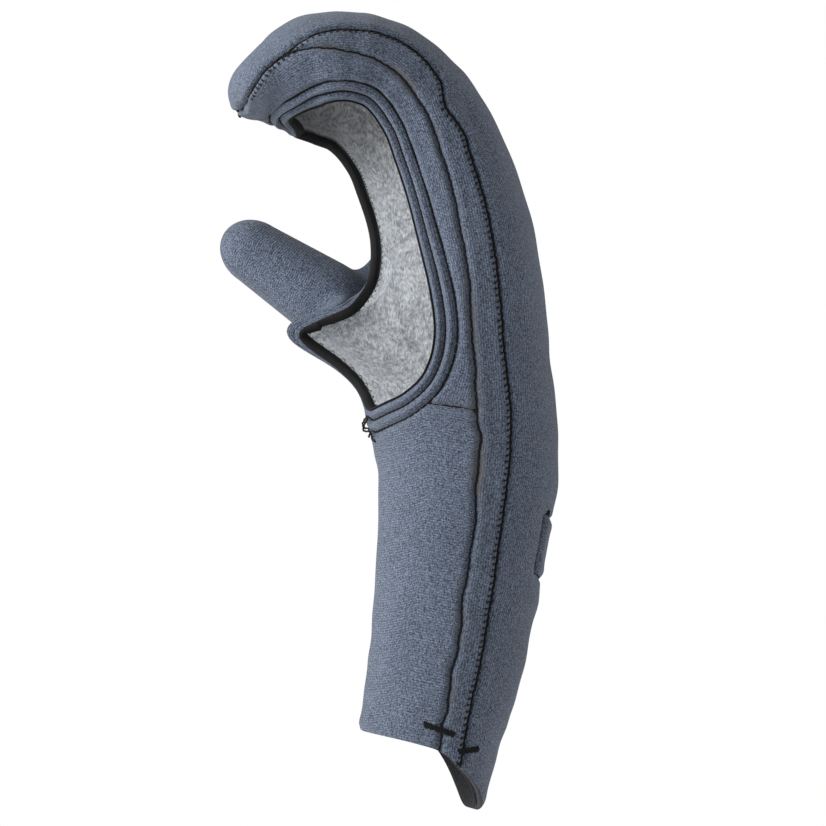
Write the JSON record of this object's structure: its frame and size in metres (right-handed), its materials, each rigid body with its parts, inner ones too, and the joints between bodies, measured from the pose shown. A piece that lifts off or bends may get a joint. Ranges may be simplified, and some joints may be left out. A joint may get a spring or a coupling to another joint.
{
  "type": "open-palm mitten",
  "caption": "Left-hand foam rubber mitten with an open palm, curled finger hood, thumb stall and long wrist cuff, held in the form of a hand.",
  "frame": {"origin": "middle of the cuff's mouth, where the wrist goes in", "axes": "+Z from the cuff to the knuckles, -X the way the palm faces, +Y the thumb side"},
  "size_m": [0.1342, 0.1084, 0.3174],
  "materials": {
    "foam_knit": "fine blue-grey knit laminated to foam rubber",
    "hem_knit": "the same knit, folded and double stitched",
    "black_tape": "matt black woven tape",
    "fleece": "grey marled brushed fleece",
    "cuff_lining": "smooth dark charcoal jersey"
  },
  "bodies": {
    "root": {"back_panel": "foam_knit", "side_strip": "foam_knit", "finger_hood": "foam_knit", "cuff_palm_panel": "foam_knit", "thumb_stall": "foam_knit", "palm_hem": "hem_knit", "palm_binding": "black_tape", "lining_back": "fleece", "lining_hood": "fleece", "lining_wrist": "fleece", "lining_thumb": "fleece", "lining_cuff": "cuff_lining", "wrist_patch": "foam_knit"}
  },
  "joints": []
}
